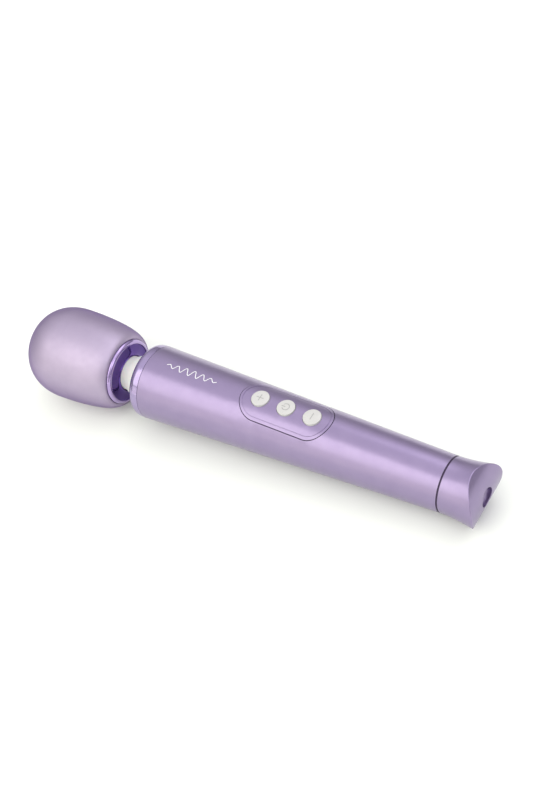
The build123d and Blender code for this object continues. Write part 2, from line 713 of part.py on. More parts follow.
for side, (name, (length, width, height)) in zip((-0.5, 0.5), CHIP_SIZES.items()):
    with BuildPart() as chip:
        with BuildSketch(level(BUTTON_STATION + side * BUTTON_PITCH, BOARD_TOP + TOUCH)):
            Rectangle(length, width)
        extrude(amount=height)
    keep_piece(name, chip.part)

with BuildPart() as lead_connector:
    with BuildSketch(level(CONNECTOR_FRONT + CONNECTOR_LENGTH / 2, BOARD_TOP + TOUCH)):
        Rectangle(CONNECTOR_LENGTH, CONNECTOR_WIDTH)
    extrude(amount=CONNECTOR_HEIGHT)
keep_piece("lead_connector", lead_connector.part)

# ---------------------------------------------------------------- battery

CELL_RADIUS = 9.2
CELL_LENGTH = 65.0
CELL_START = 92.0
CELL_HEIGHT = -2.6                # the cell lies a little under the wand's axis
CELL_END = CELL_START + CELL_LENGTH
CELL_EDGE = 0.8
TAB_THICKNESS = 0.2
TAB_WIDTH = 5.0
TAB_SPAN = 12.0                   # the front tab reaches this far across the cell
REAR_TAB_LENGTH = 6.8

with BuildPart() as battery_cell:
    with BuildSketch(across(CELL_START)):
        with Locations((0, CELL_HEIGHT)):
            Circle(CELL_RADIUS)
    extrude(amount=CELL_LENGTH)
    fillet(battery_cell.edges().filter_by(GeomType.CIRCLE), radius=CELL_EDGE)
keep_piece("battery_cell", battery_cell.part)

with BuildPart() as battery_tabs:
    with BuildSketch(across(CELL_START - TOUCH)):
        with Locations((0, CELL_HEIGHT)):
            Rectangle(TAB_SPAN, TAB_WIDTH)
    extrude(amount=-TAB_THICKNESS)
    with BuildSketch(across(CELL_END + TOUCH)):
        with Locations((0, (CELL_HEIGHT + CELL_RADIUS) / 2)):
            Rectangle(TAB_WIDTH, REAR_TAB_LENGTH)
    extrude(amount=TAB_THICKNESS)
    with BuildSketch(level((CELL_START + CELL_END) / 2, CELL_HEIGHT + CELL_RADIUS + TOUCH)):
        Rectangle(CELL_LENGTH + 2 * (TOUCH + TAB_THICKNESS), TAB_WIDTH)
    extrude(amount=TAB_THICKNESS)
keep_piece("battery_tabs", battery_tabs.part)

BULKHEAD = 1.5
REAR_BULKHEAD = 160.4             # station of the wall that the cell's foam pad rests on
PAD_WIDTH = 12.0
PAD_HEIGHT = 8.0
PAD_DROP = 3.0                    # the pad's middle is this far under the cell's

with BuildPart() as battery_pad:
    with BuildSketch(across(CELL_END + TOUCH + TAB_THICKNESS + TOUCH)):
        with Locations((0, CELL_HEIGHT - PAD_DROP)):
            Rectangle(PAD_WIDTH, PAD_HEIGHT)
    extrude(amount=REAR_BULKHEAD - CELL_END - 2 * TOUCH - TAB_THICKNESS - TOUCH)
keep_piece("battery_pad", battery_pad.part)

BATTERY_LEAD_SIDE = 5.2
BATTERY_LEAD_FRONT = 87.0         # station where the battery's wires turn back over the cell

with BuildPart() as battery_leads:
    for side in (-BATTERY_LEAD_SIDE, BATTERY_LEAD_SIDE):
        add(
            lead(
                side,
                (CELL_START - 3 * TOUCH - TAB_THICKNESS, CELL_HEIGHT),
                (BATTERY_LEAD_FRONT, CELL_HEIGHT),
                (BATTERY_LEAD_FRONT, BOARD_TOP - BOARD_THICKNESS / 2),
                (BOARD_START - TOUCH, BOARD_TOP - BOARD_THICKNESS / 2),
            )
        )
keep_piece("battery_leads", battery_leads.part)

# ---------------------------------------------------------------- chassis

CHASSIS_START = 84.0
CHASSIS_END = 229.0
CHASSIS_INSET = TUBE_WALL + SLIP
WINDOW_START = 116.0
WINDOW_END = 184.0
RAIL_SIDE = 7.4                   # the board's two side rails start this far from the axis
RAIL_WIDTH = 10.0                 # before the rails are cut to the chassis wall
RAIL_THICKNESS = 1.2
BOSS_RADIUS = 2.7
BOSS_SPOTS = {104.0: 12.2, 205.0: 8.0}   # station: distance to each side
BOSS_SEAT = -4.0                  # height of the step that each chassis screw's head rests on
CHASSIS_SCREW_LENGTH = 9.0
PILOT_DEPTH = 6.0                 # of the upper half's screw holes, above the joint
RAIL_TOP = BOARD_TOP - BOARD_THICKNESS - TOUCH


def boss_sketch(radius, height):
    """Circles at the four chassis screws, on a level plane."""
    with BuildSketch(level(0, height)) as circles:
        for station, side in BOSS_SPOTS.items():
            with Locations((station, side), (station, -side)):
                Circle(radius)
    return circles.sketch


with BuildPart() as chassis_envelope:
    revolve(
        section(
            (CHASSIS_START, 0),
            (CHASSIS_START, tube_radius(CHASSIS_START) - CHASSIS_INSET),
            (CHASSIS_END, tube_radius(CHASSIS_END) - CHASSIS_INSET),
            (CHASSIS_END, 0),
        ),
        axis=WAND_AXIS,
    )

with BuildPart() as chassis_upper_wall:
    revolve(tapered_section(CHASSIS_START, CHASSIS_END, CHASSIS_INSET, CHASSIS_WALL), axis=WAND_AXIS)
    split(bisect_by=level(0, TOUCH), keep=Keep.TOP)
    with BuildSketch(level(BOARD_MIDDLE, RAIL_TOP)):
        Rectangle(WINDOW_END - WINDOW_START, 2 * COLLAR_RADIUS)
    extrude(amount=ABOVE_TUBE, mode=Mode.SUBTRACT)

with BuildPart() as chassis_lower_wall:
    revolve(tapered_section(CHASSIS_START, CHASSIS_END, CHASSIS_INSET, CHASSIS_WALL), axis=WAND_AXIS)
    split(bisect_by=level(0, -TOUCH), keep=Keep.BOTTOM)

with BuildPart() as chassis_upper:
    extrude(boss_sketch(BOSS_RADIUS, TOUCH), amount=ABOVE_TUBE)
    with BuildSketch(level(BOARD_MIDDLE, RAIL_TOP)):
        with Locations((0, RAIL_SIDE + RAIL_WIDTH / 2), (0, -RAIL_SIDE - RAIL_WIDTH / 2)):
            Rectangle(WINDOW_END - WINDOW_START, RAIL_WIDTH)
    extrude(amount=-RAIL_THICKNESS)
    add(chassis_envelope.part, mode=Mode.INTERSECT)
    add(chassis_upper_wall.part)
    extrude(boss_sketch(SCREW_RADIUS, 0), amount=PILOT_DEPTH, mode=Mode.SUBTRACT)
    with BuildSketch(level(BOARD_MIDDLE, BOARD_TOP)):
        with Locations(*BOARD_SCREW_SPOTS):
            Circle(BOARD_SCREW_RADIUS)
    extrude(amount=-BOARD_THICKNESS - BOARD_SCREW_DEPTH - TOUCH, mode=Mode.SUBTRACT)
keep_piece("chassis_upper", chassis_upper.part)

with BuildPart() as chassis_lower:
    extrude(boss_sketch(BOSS_RADIUS, -TOUCH), amount=-ABOVE_TUBE)
    with BuildSketch(across(REAR_BULKHEAD)):
        with Locations((0, -ABOVE_TUBE / 2 - TOUCH)):
            Rectangle(2 * ABOVE_TUBE, ABOVE_TUBE)
    extrude(amount=BULKHEAD)
    add(chassis_envelope.part, mode=Mode.INTERSECT)
    add(chassis_lower_wall.part)
    extrude(boss_sketch(SCREW_RADIUS + TOUCH, 0), amount=-ABOVE_TUBE, mode=Mode.SUBTRACT)
    extrude(boss_sketch(SCREW_HEAD_RADIUS + TOUCH, BOSS_SEAT), amount=-ABOVE_TUBE, mode=Mode.SUBTRACT)
keep_piece("chassis_lower", chassis_lower.part)

with BuildPart() as chassis_screws:
    extrude(boss_sketch(SCREW_HEAD_RADIUS, BOSS_SEAT - TOUCH), amount=-SCREW_HEAD_HEIGHT)
    extrude(boss_sketch(SCREW_RADIUS - TOUCH, BOSS_SEAT - 2 * TOUCH), amount=CHASSIS_SCREW_LENGTH)
keep_piece("chassis_screws", chassis_screws.part)

# ---------------------------------------------------------------- tail cap and charging port

GASKET_WIDTH = 0.5
CAP_START = TAIL_SEAM + GASKET_WIDTH
CAP_SPIGOT_START = 230.0
CAP_SPIGOT_RADIUS = tube_radius(TUBE_END) - TUBE_WALL - TOUCH
CAP_SPIGOT_BORE = 10.0
CAP_CAVITY = 11.4
CAP_CAVITY_TAPER = 1.4            # of the cavity's two sloping corners
CAP_CAVITY_END = 244.0
PORT_RADIUS = 4.7
PORT_DEPTH = 2.4                  # of the recess that a charging plug's head seats in
BEZEL_THICKNESS = 1.0
BEZEL_RADIUS = 4.2
BEZEL_BORE = 2.1
JACK_RADIUS = 3.1
JACK_FRONT = 240.5
JACK_BORE = 1.8
JACK_BORE_DEPTH = 8.0
JACK_PIN_RADIUS = 0.6
PORT_FLOOR = TOTAL_LENGTH - PORT_DEPTH
JACK_REAR = PORT_FLOOR - BEZEL_THICKNESS
CAP_BEVEL = 0.35
OVERCUT = 1.0                     # how far a cutting solid reaches past the surface that it opens
CAP_BLANK_END = TOTAL_LENGTH + 1  # the cap is turned this long, and its end face is cut from that
FLARE_START = 9.0                 # the cap starts to widen about this far behind its front
MOUTH_CHAMFER = 0.5
PIN_ROUND = 0.3
PIN_INSET = 1.0                   # the pin's tip lies this far inside the jack

with BuildPart() as tail_gasket:
    revolve(
        ring_section(TAIL_SEAM, CAP_START - TOUCH, CAP_SPIGOT_RADIUS, TAIL_SEAM_RADIUS - 2 * TOUCH),
        axis=WAND_AXIS,
    )
keep_piece("tail_gasket", tail_gasket.part)

with BuildPart() as tail_cap:
    with BuildSketch(LENGTHWISE):
        with BuildLine():
            Bezier(
                (CAP_START, TAIL_SEAM_RADIUS),
                (CAP_START + FLARE_START, TAIL_SEAM_RADIUS),
                (CAP_BLANK_END, TAIL_END_RADIUS),
            )
            Polyline(
                (CAP_BLANK_END, TAIL_END_RADIUS),
                (CAP_BLANK_END, 0),
                (CAP_CAVITY_END, 0),
                (CAP_CAVITY_END, CAP_CAVITY - CAP_CAVITY_TAPER),
                (CAP_CAVITY_END - CAP_CAVITY_TAPER, CAP_CAVITY),
                (CAP_START + CAP_CAVITY_TAPER, CAP_CAVITY),
                (CAP_START, CAP_SPIGOT_BORE),
                (CAP_SPIGOT_START, CAP_SPIGOT_BORE),
                (CAP_SPIGOT_START, CAP_SPIGOT_RADIUS - TOUCH),
                (CAP_START, CAP_SPIGOT_RADIUS - TOUCH),
                (CAP_START, TAIL_SEAM_RADIUS),
            )
        make_face()
    revolve(axis=WAND_AXIS)
    with BuildSketch(LENGTHWISE):
        with Locations((TOTAL_LENGTH - ROCKER_RADIUS, 0)):
            Circle(ROCKER_RADIUS)
        with Locations(((TOTAL_LENGTH - ROCKER_RADIUS) / 2, 0)):
            Rectangle(TOTAL_LENGTH - ROCKER_RADIUS, 2 * ROCKER_RADIUS)
    extrude(amount=ABOVE_TUBE, both=True, mode=Mode.INTERSECT)
    end_face = tail_cap.faces().filter_by(GeomType.CYLINDER).sort_by(WAND_AXIS)[-1]
    chamfer(end_face.edges(), length=CAP_BEVEL)
    with BuildSketch(across(PORT_FLOOR)):
        Circle(PORT_RADIUS)
    extrude(amount=PORT_DEPTH + OVERCUT, mode=Mode.SUBTRACT)
    with BuildSketch(across(JACK_REAR)):
        Circle(BEZEL_RADIUS)
    extrude(amount=BEZEL_THICKNESS, mode=Mode.SUBTRACT)
    with BuildSketch(across(CAP_CAVITY_END - OVERCUT)):
        Circle(JACK_RADIUS + TOUCH)
    extrude(amount=JACK_REAR - CAP_CAVITY_END + OVERCUT, mode=Mode.SUBTRACT)
keep_piece("tail_cap", tail_cap.part)

with BuildPart() as port_bezel:
    revolve(
        ring_section(JACK_REAR + TOUCH, PORT_FLOOR, BEZEL_BORE, BEZEL_RADIUS - TOUCH),
        axis=WAND_AXIS,
    )
    bezel_mouth = port_bezel.faces().sort_by(WAND_AXIS)[-1].edges().sort_by(SortBy.RADIUS)[0]
    chamfer(bezel_mouth, length=MOUTH_CHAMFER)
keep_piece("port_bezel", port_bezel.part)

with BuildPart() as charging_jack:
    revolve(
        section(
            (JACK_FRONT, 0),
            (JACK_FRONT, JACK_RADIUS),
            (JACK_REAR, JACK_RADIUS),
            (JACK_REAR, JACK_BORE),
            (JACK_REAR - JACK_BORE_DEPTH, JACK_BORE),
            (JACK_REAR - JACK_BORE_DEPTH, 0),
        ),
        axis=WAND_AXIS,
    )
keep_piece("charging_jack", charging_jack.part)

with BuildPart() as jack_pin:
    with BuildSketch(across(JACK_REAR - JACK_BORE_DEPTH + TOUCH)):
        Circle(JACK_PIN_RADIUS)
    extrude(amount=JACK_BORE_DEPTH - PIN_INSET)
    fillet(jack_pin.faces().sort_by(WAND_AXIS)[-1].edges(), radius=PIN_ROUND)
keep_piece("jack_pin", jack_pin.part)

CHARGE_LEAD_RISE = (196.0, 188.0)  # stations between which the wires climb to the board

with BuildPart() as charge_leads:
    for side in (-LEAD_SPREAD, LEAD_SPREAD):
        add(
            lead(
                side,
                (JACK_FRONT - TOUCH, 0),
                (CHARGE_LEAD_RISE[0], 0),
                (CHARGE_LEAD_RISE[1], BOARD_TOP - BOARD_THICKNESS / 2),
                (BOARD_END + TOUCH, BOARD_TOP - BOARD_THICKNESS / 2),
            )
        )
keep_piece("charge_leads", charge_leads.part)

# ---------------------------------------------------------------- write every piece

os.makedirs("parts", exist_ok=True)
for name, part in pieces.items():
    export_step(part, f"parts/{name}.step")

print(len(pieces), "nodes, lean", round(degrees(LEAN), 3), "degrees")
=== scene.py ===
"""Looks of a handheld wand massager that lies on a white studio floor.

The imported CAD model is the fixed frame. The parts that show most are rebuilt here as fine, smooth
meshes, and every other CAD node keeps its own mesh and gets its finish here.
Lengths are in metres. A station is a distance along the wand from the tip of its head, a height is
measured from the wand's axis towards its buttons, and a side from the axis towards +Y.
"""

import json
import math

import bmesh
import bpy
from mathutils import Matrix, Vector
from mathutils.geometry import interpolate_bezier


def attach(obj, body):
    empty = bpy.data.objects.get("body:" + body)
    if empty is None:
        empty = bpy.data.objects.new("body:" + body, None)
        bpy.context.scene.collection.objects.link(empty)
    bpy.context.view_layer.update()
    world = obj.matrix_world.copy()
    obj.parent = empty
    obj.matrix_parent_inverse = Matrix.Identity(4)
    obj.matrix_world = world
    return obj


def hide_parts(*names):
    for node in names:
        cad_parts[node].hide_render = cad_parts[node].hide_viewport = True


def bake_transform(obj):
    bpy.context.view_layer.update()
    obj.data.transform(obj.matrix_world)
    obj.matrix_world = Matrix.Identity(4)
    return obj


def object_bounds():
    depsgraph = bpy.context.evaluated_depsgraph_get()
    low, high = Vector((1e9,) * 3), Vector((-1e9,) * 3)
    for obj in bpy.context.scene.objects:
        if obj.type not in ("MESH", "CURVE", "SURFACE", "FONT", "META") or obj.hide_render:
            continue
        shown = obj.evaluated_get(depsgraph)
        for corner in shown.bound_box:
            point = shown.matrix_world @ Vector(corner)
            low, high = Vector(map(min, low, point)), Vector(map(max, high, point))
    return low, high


MM = 0.001

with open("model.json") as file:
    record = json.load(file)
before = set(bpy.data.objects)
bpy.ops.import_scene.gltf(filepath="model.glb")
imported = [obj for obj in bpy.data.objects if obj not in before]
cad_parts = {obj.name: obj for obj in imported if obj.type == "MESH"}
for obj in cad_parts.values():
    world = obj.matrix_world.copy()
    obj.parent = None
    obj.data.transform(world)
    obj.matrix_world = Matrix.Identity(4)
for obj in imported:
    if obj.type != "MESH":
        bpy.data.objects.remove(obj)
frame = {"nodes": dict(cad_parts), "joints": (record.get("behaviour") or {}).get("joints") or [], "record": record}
CAD_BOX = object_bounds()

# ---------------------------------------------------------------- the wand's own frame

JOINTS = {joint["name"]: joint for joint in frame["joints"]}
MOUNTS = {mount["name"]: mount for mount in frame["record"]["mounts"]}
ALONG = Vector(JOINTS["rotor_spin"]["axis"]).normalized()
UPWARD = Vector(JOINTS["neck_yaw"]["axis"]).normalized()
SIDEWAYS = UPWARD.cross(ALONG)
NECK_PIVOT = Vector(JOINTS["neck_yaw"]["pos_m"])
LEAN = math.asin(UPWARD.x)


def span(node, direction, origin):
    """Lowest and highest distance of a CAD node from origin, along a direction."""
    reach = [(vertex.co - origin).dot(direction) for vertex in frame["nodes"][node].data.vertices]
    return min(reach), max(reach)


HEAD_TIP = NECK_PIVOT + ALONG * span("silicone_head_cover", ALONG, NECK_PIVOT)[0]
PIVOT_STATION = (NECK_PIVOT - HEAD_TIP).length


def place(station, side, height):
    """The point at a station, side and height of the wand."""
    return HEAD_TIP + ALONG * station + SIDEWAYS * side + UPWARD * height


def off_axis(point):
    """Distance of a point from the wand's axis."""
    offset = point - HEAD_TIP
    return (offset - ALONG * offset.dot(ALONG)).length


def stations(node):
    """First and last station of a CAD node, in mm."""
    first, last = span(node, ALONG, HEAD_TIP)
    return first / MM, last / MM


def radii(node):
    """Smallest and largest distance of a CAD node's vertices from the wand's axis, in mm."""
    reach = [off_axis(vertex.co) / MM for vertex in frame["nodes"][node].data.vertices]
    return min(reach), max(reach)


# ---------------------------------------------------------------- camera, floor and lights

CAMERA_PLACE = place(0.4439, -0.3064, 0.5067)
CAMERA_AIM = place(0.13354, 0.01077, 0)
CAMERA_ROLL = math.radians(-19.86)
CAMERA_LENS = 63.0
CAMERA_SENSOR = 36.0

LIGHT_AIM = place(0.125, 0, 0)
LIGHT_DISTANCE = 1.4
WARM_WHITE = (1.0, 1.0, 0.84)
PLAIN_WHITE = (1.0, 1.0, 1.0)
SOFTBOXES = {
    # tilt towards +Y in degrees, shift along X, size, radiance and colour
    "front_softbox": (-42, -0.5, (1.3, 1.25), 1.42, WARM_WHITE),
    "front_fill": (-81, -0.4, (1.6, 0.55), 1.1, WARM_WHITE),
    "tail_fill": (-25, 1.5, (1.0, 1.0), 1.2, PLAIN_WHITE),
    "top_softbox": (4, 0.4, (1.6, 0.7), 0.4, PLAIN_WHITE),
    "back_softbox": (35, 0.3, (1.5, 0.72), 0.9, PLAIN_WHITE),
}
HORIZON = (0.1, 0.47)  # place on the ramp from level to overhead, and tone
ZENITH = (0.9, 1.25)


def facing(point, target):
    """A placement at point whose -Z axis looks at target, with no roll."""
    return Matrix.Translation(point) @ (target - point).to_track_quat("-Z", "Y").to_matrix().to_4x4()


def make_camera():
    """The camera, which looks along the wand from above its tail."""
    data = bpy.data.cameras.new("camera")
    data.lens = CAMERA_LENS
    data.sensor_width = CAMERA_SENSOR
    data.clip_start = 0.01
    camera = bpy.data.objects.new("camera", data)
    camera.matrix_world = facing(CAMERA_PLACE, CAMERA_AIM) @ Matrix.Rotation(CAMERA_ROLL, 4, "Z")
    bpy.context.scene.collection.objects.link(camera)
    bpy.context.scene.camera = camera


def make_softbox(name, across_tilt, along, size, radiance, tint):
    """A rectangular light that faces the wand.

    across_tilt turns it from straight up towards +Y, in degrees, and along shifts it in X.
    """
    tilt = math.radians(across_tilt)
    direction = Vector((0, math.sin(tilt), math.cos(tilt)))
    data = bpy.data.lights.new(name, "AREA")
    data.shape = "RECTANGLE"
    data.size, data.size_y = size
    data.color = tint
    data.energy = radiance * math.pi * size[0] * size[1]
    light = bpy.data.objects.new(name, data)
    aim = LIGHT_AIM + Vector((along, 0, 0))
    light.matrix_world = facing(aim + direction * LIGHT_DISTANCE, LIGHT_AIM)
    bpy.context.scene.collection.objects.link(light)


def make_world():
    """A grey room that grows brighter overhead."""
    world = bpy.data.worlds.new("studio")
    world.use_nodes = True
    tree = world.node_tree
    background = tree.nodes["Background"]
    coordinates = tree.nodes.new("ShaderNodeTexCoord")
    split = tree.nodes.new("ShaderNodeSeparateXYZ")
    ramp = tree.nodes.new("ShaderNodeValToRGB")
    tree.links.new(coordinates.outputs["Generated"], split.inputs[0])
    tree.links.new(split.outputs["Z"], ramp.inputs["Fac"])
    for stop, (position, tone) in zip(ramp.color_ramp.elements, (HORIZON, ZENITH)):
        stop.position = position
        stop.color = (tone, tone, tone, 1)
    tree.links.new(ramp.outputs["Color"], background.inputs["Color"])
    bpy.context.scene.world = world


def make_studio():
    """The camera, the room and the soft lights."""
    make_camera()
    make_world()
    for name, settings in SOFTBOXES.items():
        make_softbox(name, *settings)
    bpy.context.scene.view_settings.view_transform = "Standard"


FLOOR_HALF = 15.0
FLOOR_GAP = 0.05 * MM
FLOOR_TONE = (0.90, 0.92, 0.88, 1)


def make_floor():
    """The plain pale floor that the wand lies on."""
    level = CAD_BOX[0].z - FLOOR_GAP
    grid = bmesh.new()
    corners = [(-1, -1), (1, -1), (1, 1), (-1, 1)]
    grid.faces.new([grid.verts.new((x * FLOOR_HALF, y * FLOOR_HALF, level)) for x, y in corners])
    floor = new_object("floor", grid)
    material, tree, shader = new_material("floor_white")
    shader.inputs["Roughness"].default_value = 0.9
    shader.inputs["Specular IOR Level"].default_value = 0.1
    shader.inputs["Base Color"].default_value = FLOOR_TONE
    floor.data.materials.append(material)


# ---------------------------------------------------------------- mesh tools

SEGMENTS = 160
SAME_POINT = 0.001 * MM
ON_AXIS = 0.0001 * MM
STROKE_SIDES = 12
END_STEPS = 4
END_REACH = 86  # degrees that a stroke's round end turns through, which leaves a tiny flat


def new_object(name, grid):
    """An object in the scene from a bmesh, smooth shaded."""
    bmesh.ops.recalc_face_normals(grid, faces=grid.faces)
    mesh = bpy.data.meshes.new(name)
    grid.to_mesh(mesh)
    grid.free()
    mesh.shade_smooth()
    made = bpy.data.objects.new(name, mesh)
    bpy.context.scene.collection.objects.link(made)
    return made


def curve(start, leave, arrive, end, steps=28):
    """Points in mm of a cubic curve between two (station, radius) points."""
    points = interpolate_bezier(Vector(start), Vector(leave), Vector(arrive), Vector(end), steps + 1)
    return [(point.x, point.y) for point in points]


def straight(start, end, count=14):
    """Evenly spaced points in mm on a straight line."""
    return [
        (start[0] + (end[0] - start[0]) * i / count, start[1] + (end[1] - start[1]) * i / count)
        for i in range(count + 1)
    ]


def arc(centre, radius, from_degrees, to_degrees, steps=12):
    """Points in mm of an arc, with angles measured from the direction of growing stations."""
    sweep = to_degrees - from_degrees
    angles = [math.radians(from_degrees + sweep * i / steps) for i in range(steps + 1)]
    return [(centre[0] + radius * math.cos(a), centre[1] + radius * math.sin(a)) for a in angles]


def loop(*runs):
    """One closed outline in metres from runs of points in mm, without repeated points."""
    points = []
    for run in runs:
        for point in run:
            scaled = (point[0] * MM, point[1] * MM)
            if not points or math.dist(points[-1], scaled) > SAME_POINT:
                points.append(scaled)
    if math.dist(points[0], points[-1]) < SAME_POINT:
        points.pop()
    return points


def turned(name, outline, origin=None, axis=None, start=None, segments=SEGMENTS):
    """A solid of revolution from a closed outline of (distance along the axis, radius) points."""
    origin = origin or HEAD_TIP
    axis = axis or ALONG
    start = start or UPWARD
    across = axis.cross(start)
    grid = bmesh.new()
    rings = []
    for distance, radius in outline:
        count = 1 if radius < ON_AXIS else segments
        angles = [math.tau * i / count for i in range(count)]
        rings.append([
            grid.verts.new(origin + axis * distance + (start * math.cos(a) + across * math.sin(a)) * radius)
            for a in angles
        ])
    for front, rear in zip(rings, rings[1:] + rings[:1]):
        join_rings(grid, front, rear, segments)
    return new_object(name, grid)


def join_rings(grid, front, rear, segments):
    """Skins the gap between two rings, either of which may be a single point."""
    made = []
    if len(front) == 1 and len(rear) == 1:
        return made
    for i in range(segments):
        j = (i + 1) % segments
        corners = [front[i % len(front)], front[j % len(front)], rear[j % len(rear)], rear[i % len(rear)]]
        made.append(grid.faces.new(list(dict.fromkeys(corners))))
    return made


def bevel(made, width, segments=3, angle=28, material=-1):
    """Rounds the object's hard edges, with the nearest faces' material or the one at an index."""
    modifier = made.modifiers.new("bevel", "BEVEL")
    modifier.width = width
    modifier.segments = segments
    modifier.limit_method = "ANGLE"
    modifier.angle_limit = math.radians(angle)
    modifier.harden_normals = True
    modifier.material = material
    return made


def end_angles():
    """Angles of the steps that round off a stroke's end."""
    return [math.radians(END_REACH) * step / END_STEPS for step in range(1, END_STEPS + 1)]


def stroke(name, path, normals, half_width, half_height):
    """A slim raised line with round ends that follows points on a surface with the given normals."""
    grid = bmesh.new()
    count = len(path)
    tangents = [(path[min(i + 1, count - 1)] - path[max(i - 1, 0)]).normalized() for i in range(count)]
    start_reach = tangents[0] * half_width
    end_reach = tangents[-1] * half_width
    stops = [(path[0] - start_reach * math.sin(a), 0, math.cos(a)) for a in end_angles()[::-1]]
    stops += [(point, i, 1.0) for i, point in enumerate(path)]
    stops += [(path[-1] + end_reach * math.sin(a), count - 1, math.cos(a)) for a in end_angles()]
    rings = []
    for point, index, share in stops:
        normal = normals[index]
        side = tangents[index].cross(normal).normalized()
        rings.append([
            grid.verts.new(
                point
                + side * half_width * share * math.cos(math.tau * k / STROKE_SIDES)
                + normal * half_height * share * math.sin(math.tau * k / STROKE_SIDES)
            )
            for k in range(STROKE_SIDES)
        ])
    for front, rear in zip(rings, rings[1:]):
        join_rings(grid, front, rear, STROKE_SIDES)
    grid.faces.new(rings[0])
    grid.faces.new(rings[-1])
    return new_object(name, grid)


# ---------------------------------------------------------------- materials

def new_material(name):
    """A material, its node tree and its shader."""
    material = bpy.data.materials.new(name)
    material.use_nodes = True
    return material, material.node_tree, material.node_tree.nodes["Principled BSDF"]


def wand_coordinates(tree):
    """Texture coordinates in metres, with X along the wand."""
    coordinates = tree.nodes.new("ShaderNodeTexCoord")
    mapping = tree.nodes.new("ShaderNodeMapping")
    mapping.inputs["Rotation"].default_value = (0, -LEAN, 0)
    tree.links.new(coordinates.outputs["Object"], mapping.inputs["Vector"])
    return mapping.outputs["Vector"]


NOISE_RANGE = (0.3, 0.7)
GLOSS_PATCH = 0.37  # size of the patches of even roughness, as a share of the colour's


def noise(tree, size, detail=3.0, stretch=(1, 1, 1)):
    """A noise value whose patches are about size across, stretched along the wand's axes."""
    mapping = tree.nodes.new("ShaderNodeMapping")
    mapping.inputs["Scale"].default_value = tuple(1 / (size * s) for s in stretch)
    texture = tree.nodes.new("ShaderNodeTexNoise")
    texture.inputs["Scale"].default_value = 1.0
    texture.inputs["Detail"].default_value = detail
    tree.links.new(wand_coordinates(tree), mapping.inputs["Vector"])
    tree.links.new(mapping.outputs["Vector"], texture.inputs["Vector"])
    return texture.outputs["Fac"]


def blend_colours(tree, factor, low, high):
    """A colour between two, by a value."""
    mix = tree.nodes.new("ShaderNodeMix")
    mix.data_type = "RGBA"
    mix.inputs["A"].default_value = (*low, 1)
    mix.inputs["B"].default_value = (*high, 1)
    tree.links.new(factor, mix.inputs["Factor"])
    return mix.outputs["Result"]


def spread(tree, value, low, high):
    """A value mapped from the middle of the noise range to low..high."""
    mapped = tree.nodes.new("ShaderNodeMapRange")
    mapped.inputs["From Min"].default_value, mapped.inputs["From Max"].default_value = NOISE_RANGE
    mapped.inputs["To Min"].default_value = low
    mapped.inputs["To Max"].default_value = high
    tree.links.new(value, mapped.inputs["Value"])
    return mapped.outputs["Result"]


def raise_relief(tree, shader, height, relief):
    """Gives the surface a relief of that height in metres."""
    bump = tree.nodes.new("ShaderNodeBump")
    bump.inputs["Distance"].default_value = relief
    tree.links.new(height, bump.inputs["Height"])
    tree.links.new(bump.outputs["Normal"], shader.inputs["Normal"])


def finish(name, tones, roughness, patch, grain, relief, metallic=0.0, stretch=(1, 1, 1), **settings):
    """A finish whose colour and roughness drift over patches and whose grain stands slightly proud.

    tones and roughness are pairs. patch, grain and relief are two sizes and a height, in metres.
    settings name further inputs of the shader.
    """
    material, tree, shader = new_material(name)
    drift = noise(tree, patch)
    shade = spread(tree, drift, 0, 1)
    tree.links.new(blend_colours(tree, shade, *tones), shader.inputs["Base Color"])
    tree.links.new(spread(tree, noise(tree, patch * GLOSS_PATCH), *roughness), shader.inputs["Roughness"])
    raise_relief(tree, shader, noise(tree, grain, 2.0, stretch), relief)
    shader.inputs["Metallic"].default_value = metallic
    for setting, value in settings.items():
        shader.inputs[setting.replace("_", " ").title()].default_value = value
    return material


